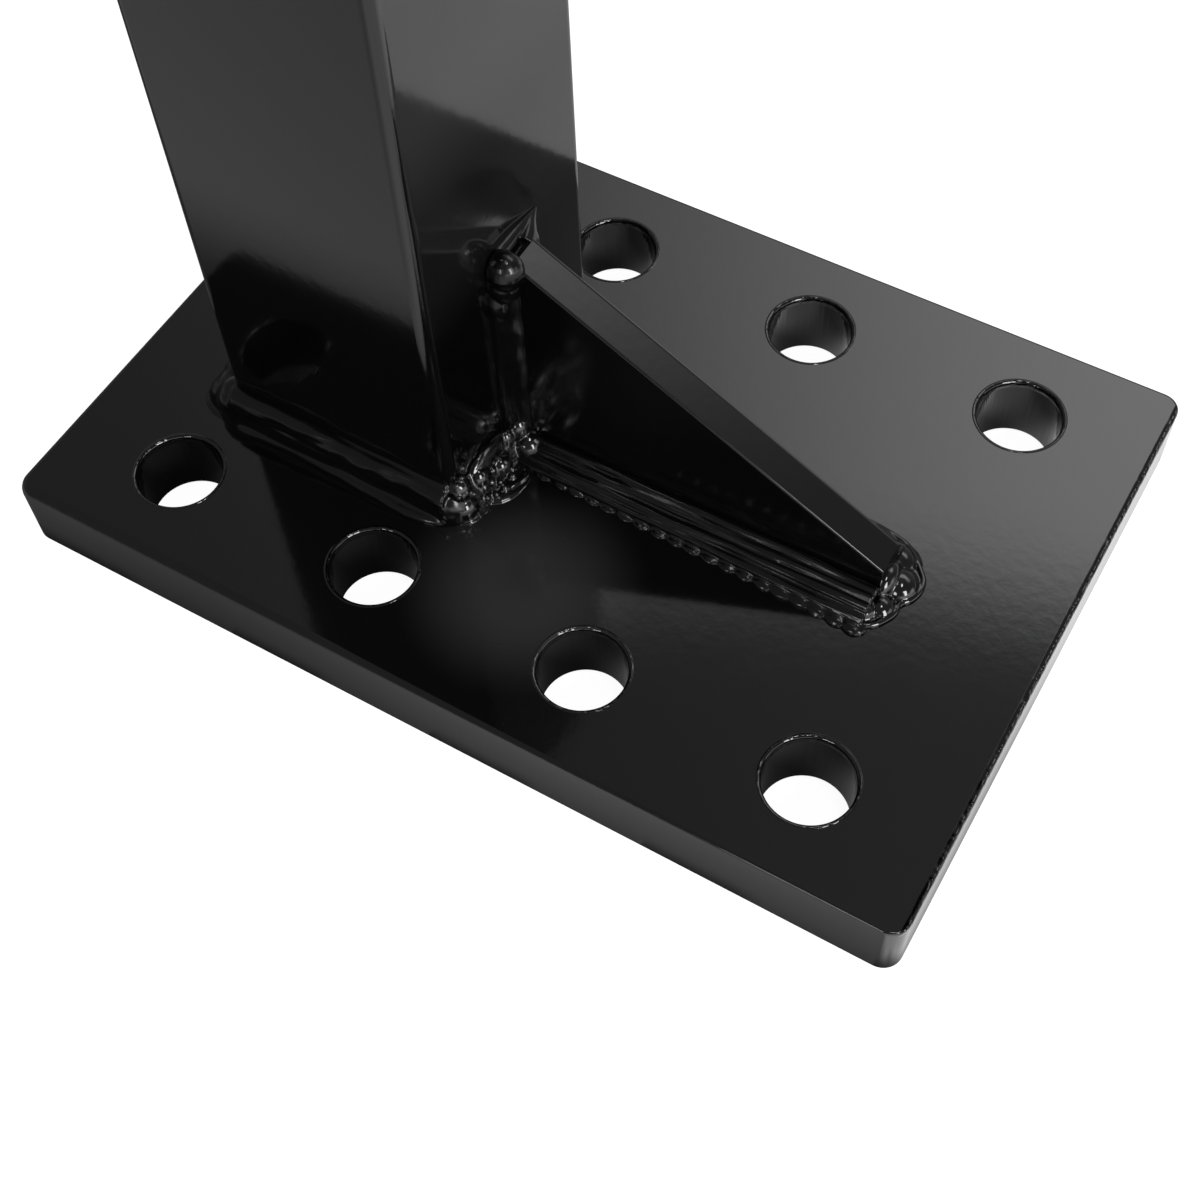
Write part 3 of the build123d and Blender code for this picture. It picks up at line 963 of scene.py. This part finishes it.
def gusset_scallops(bead, chance):
    """The lobes along a bead's toe, each a little larger and higher towards the gusset's end."""
    pitch, radius, reach_near, reach_far = bead["scallops"]
    parts = []
    x = BEAD_START + SCALLOP_START
    while x < BEAD_END - 1:
        share = (x - BEAD_START) / (BEAD_END - BEAD_START)
        reach = reach_near + (reach_far - reach_near) * share
        size = radius * (SCALLOP_SIZE[0] + SCALLOP_SIZE[1] * share) * chance.uniform(*SCALLOP_UNEVEN)
        height = size * (SCALLOP_HEIGHT[0] + SCALLOP_HEIGHT[1] * share)
        centre = at(x, bead["face"] + bead["side"] * (reach - size), 0)
        parts.append(lump(centre, (size * SCALLOP_LENGTH, size, height), SCALLOP_TURN * bead["side"]))
        x += pitch * chance.uniform(*SCALLOP_UNEVEN)
    return parts


def make_gusset_bead(name, bead):
    """A bead between gusset and plate: a wedge with streaky ropes along it and lobes along its toe."""
    face, side, seed = bead["face"], bead["side"], bead["seed"]
    chance = random.Random(seed)
    inner = face - side * 0.5
    wedge = fillet(at(BEAD_START, inner, 0), at(BEAD_END - 1, inner, 0),
                   wall_leg=5.4, floor_leg=8.4, knee=(3.9, 2.8))
    ropes = gusset_ropes(bead, chance)
    piece = fuse(name, [wedge] + ropes + gusset_scallops(bead, chance), voxel=0.28, rounds=6)
    trim(piece, at(0, face - side * 1.5, 0), Vector((0.0, -side, 0.0)))
    roughen(piece, grain=(60, 1.2, 1.2), depth=0.4, shift=(seed, 0, 0))
    roughen(piece, grain=(14, 2.4, 2.4), depth=0.45, shift=(0, seed, 0))
    return piece


def make_toe():
    """The metal round the gusset's blunt end: a skirt with a rolled rim on the plate, and lobes on it."""
    lobes = ((78.4, -13.2, 0, 6.0, 4.4, 4.0, 10), (84.0, -10.2, 0, 3.6, 3.8, 3.0, 0),
             (85.6, -2.4, 0, 4.6, 5.0, 3.9, 10), (81.4, 4.2, 0, 5.6, 4.6, 3.5, -25),
             (75.0, 7.6, 0, 6.0, 3.2, 2.2, -10))
    skirt = ((79.5, -14.4, 0, 6.6, 4.0, 1.1, 0), (84.6, -8.0, 0, 3.8, 5.6, 1.1, 0),
             (86.2, -1.0, 0, 4.6, 5.8, 1.1, 0), (82.0, 4.6, 0, 6.6, 5.2, 1.1, -20),
             (75.0, 7.8, 0, 6.6, 3.4, 1.1, -5))
    heart = ((82.4, -3.4, 1.0, 3.2, 6.0, 4.8),)
    outline = ((68.0, 10.6), (70.7, 11.0), (76.7, 10.4), (83.0, 9.1), (87.8, 4.1), (90.6, 0.8), (90.0, -4.6),
               (87.4, -7.2), (87.9, -10.2), (86.3, -13.6), (84.2, -16.4), (79.9, -18.0), (75.9, -16.4))
    rim = rope([(x, y, 0.3, 0.9) for x, y in outline])
    return fuse("weld_toe", [*lumps(lobes + skirt + heart), rim], voxel=0.22, rounds=9)


def make_top_weld():
    """The weld over the gusset's upper end: a round lobe on the near side and a fin that ends in a point."""
    face = POST_RIGHT
    lobes = ((face + 3.5, -10.2, 65.2, 4.8, 4.4, 4.9), (face + 2.4, -9.8, 60.5, 4.6, 4.0, 6.0),
             (face + 0.8, -10.4, 53.0, 3.4, 3.2, 6.0), (face + 1.0, 3.0, 61.0, 3.0, 3.2, 5.0),
             (face + 0.6, 3.6, 54.0, 2.4, 3.0, 7.0))
    web = ((face + 0.2, -9.0, 66.9, 2.2), (face + 0.2, -4.0, 66.8, 2.1), (face + 0.1, 0.5, 66.6, 1.9),
           (face, 5.0, 66.4, 1.2), (face + 0.1, 9.2, 66.5, 0.25))
    fin = ((face + 2.4, -0.6, 64.2, 3.0), (face + 1.8, 2.0, 64.7, 2.7), (face + 1.1, 4.2, 65.4, 1.9),
           (face + 0.5, 6.6, 66.0, 1.0), (face + 0.1, 9.2, 66.5, 0.25))
    return fuse("weld_top", [*lumps(lobes), rope(web), rope(fin)], voxel=0.2, rounds=8)


def make_plain_weld(node, name, *walls):
    """A plain fillet: the frame's own solid, pressed a little into its walls, softened and lightly rippled.

    Each wall holds the axis it is square to, its place on it in metres, and the press in millimetres, with
    its sign.
    """
    piece = copy_of(node, name)
    for axis, place, press in walls:
        clear_mesh_selection(piece, "VERT")
        for corner in piece.data.vertices:
            corner.select = abs(corner.co[axis] - place) < SAME_PLACE
        bpy.ops.object.mode_set(mode="EDIT")
        bpy.ops.transform.translate(value=[press * MM if index == axis else 0.0 for index in range(3)])
        bpy.ops.object.mode_set(mode="OBJECT")
    piece = fuse(name, [piece], voxel=0.35, rounds=4)
    roughen(piece, grain=(7.0, 7.0, 9.0), depth=0.8)
    return piece


# Operators and panel

class POSTBASE_OT_coat_steel(bpy.types.Operator):
    """Shape the plate and the gusset, and coat them and the post"""
    bl_idname = "postbase.coat_steel"
    bl_label = "Coat Steel"

    def execute(self, context):
        settings = context.scene.postbase_steel
        coat = make_steel_coat(context.scene.postbase_coat)
        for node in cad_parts.values():
            node.data.materials.clear()
            node.data.materials.append(coat)
        finish_steel(make_plate(settings), "base_plate", coat)
        finish_steel(make_gusset(settings), "gusset_plate", coat)
        return {"FINISHED"}


class POSTBASE_OT_front_bead(bpy.types.Operator):
    """Lay the bead along the post's front"""
    bl_idname = "postbase.front_bead"
    bl_label = "Front Bead"

    def execute(self, context):
        finish_weld(make_front_bead(), "weld_post_front", bead_coat(context))
        return {"FINISHED"}


class POSTBASE_OT_rough_weld(bpy.types.Operator):
    """Lay the corner lump and the rough weld beside it"""
    bl_idname = "postbase.rough_weld"
    bl_label = "Rough Weld"

    def execute(self, context):
        coat = lump_coat(context)
        finish_weld(make_corner_lump(), "weld_corner_blob", coat)
        finish_weld(make_rough_weld(), "weld_post_right_front", coat)
        return {"FINISHED"}


class POSTBASE_OT_gusset_welds(bpy.types.Operator):
    """Lay the beads between the gusset and the plate, and the lobes round its toe"""
    bl_idname = "postbase.gusset_welds"
    bl_label = "Gusset Welds"

    def execute(self, context):
        coat = bead_coat(context)
        finish_weld(make_gusset_bead("weld_gusset_near", NEAR_BEAD), "weld_gusset_front", coat)
        finish_weld(make_gusset_bead("weld_gusset_far", FAR_BEAD), "weld_gusset_back", coat)
        finish_weld(make_toe(), "weld_gusset_toe", lump_coat(context))
        return {"FINISHED"}


class POSTBASE_OT_upright_welds(bpy.types.Operator):
    """Lay the welds between the gusset and the post"""
    bl_idname = "postbase.upright_welds"
    bl_label = "Upright Welds"

    def execute(self, context):
        coat = bead_coat(context)
        post = (0, POST_HIGH.x, -0.6)
        near = make_plain_weld("weld_upright_front", "weld_upright_near", post, (1, GUSSET_LOW.y, 0.6))
        finish_weld(near, "weld_upright_front", coat)
        far = make_plain_weld("weld_upright_back", "weld_upright_far", post, (1, GUSSET_HIGH.y, -0.6))
        finish_weld(far, "weld_upright_back", coat)
        finish_weld(make_top_weld(), "weld_gusset_top", coat)
        return {"FINISHED"}


class POSTBASE_OT_plain_welds(bpy.types.Operator):
    """Lay the plain welds on the post's far sides"""
    bl_idname = "postbase.plain_welds"
    bl_label = "Plain Welds"

    def execute(self, context):
        coat = bead_coat(context)
        deck = (2, DECK, -0.6)
        left = make_plain_weld("weld_post_left", "weld_left_bead", deck, (0, POST_LOW.x, 0.6))
        finish_weld(left, "weld_post_left", coat)
        back = make_plain_weld("weld_post_back", "weld_back_bead", deck, (1, POST_HIGH.y, -0.6))
        finish_weld(back, "weld_post_back", coat)
        right = make_plain_weld("weld_post_right_back", "weld_right_bead", deck, (0, POST_HIGH.x, -0.6))
        finish_weld(right, "weld_post_right_back", coat)
        return {"FINISHED"}


class POSTBASE_OT_studio(bpy.types.Operator):
    """Set up the floor, the lamps and the camera"""
    bl_idname = "postbase.studio"
    bl_label = "Studio"

    def execute(self, context):
        settings = context.scene.postbase_studio
        make_floor(settings)
        make_world(settings)
        for lamp in LAMPS:
            add_lamp(*lamp)
        place_camera(settings)
        context.scene.view_settings.view_transform = "Standard"
        return {"FINISHED"}


class POSTBASE_PT_panel(bpy.types.Panel):
    """Lists the post base's settings, and the operators that make its pieces and its stage"""
    bl_idname = "POSTBASE_PT_panel"
    bl_label = "Welded Post Base"
    bl_space_type = "VIEW_3D"
    bl_region_type = "UI"
    bl_category = "Post Base"

    def draw(self, context):
        scene = context.scene
        for settings in (scene.postbase_steel, scene.postbase_coat, scene.postbase_studio):
            for name in type(settings).__annotations__:
                self.layout.prop(settings, name)
        for kind in OPERATORS:
            self.layout.operator(kind.bl_idname)


OPERATORS = (
    POSTBASE_OT_coat_steel,
    POSTBASE_OT_front_bead,
    POSTBASE_OT_rough_weld,
    POSTBASE_OT_gusset_welds,
    POSTBASE_OT_upright_welds,
    POSTBASE_OT_plain_welds,
    POSTBASE_OT_studio,
)
CLASSES = (SteelSettings, CoatSettings, StudioSettings) + OPERATORS + (POSTBASE_PT_panel,)


def register():
    for kind in CLASSES:
        bpy.utils.register_class(kind)
    bpy.types.Scene.postbase_steel = bpy.props.PointerProperty(type=SteelSettings)
    bpy.types.Scene.postbase_coat = bpy.props.PointerProperty(type=CoatSettings)
    bpy.types.Scene.postbase_studio = bpy.props.PointerProperty(type=StudioSettings)


def unregister():
    del bpy.types.Scene.postbase_studio
    del bpy.types.Scene.postbase_coat
    del bpy.types.Scene.postbase_steel
    for kind in reversed(CLASSES):
        bpy.utils.unregister_class(kind)


def main():
    register()
    bpy.ops.postbase.coat_steel()
    bpy.ops.postbase.front_bead()
    bpy.ops.postbase.rough_weld()
    bpy.ops.postbase.gusset_welds()
    bpy.ops.postbase.upright_welds()
    bpy.ops.postbase.plain_welds()
    bpy.ops.postbase.studio()
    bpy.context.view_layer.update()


if __name__ == "__main__":
    main()
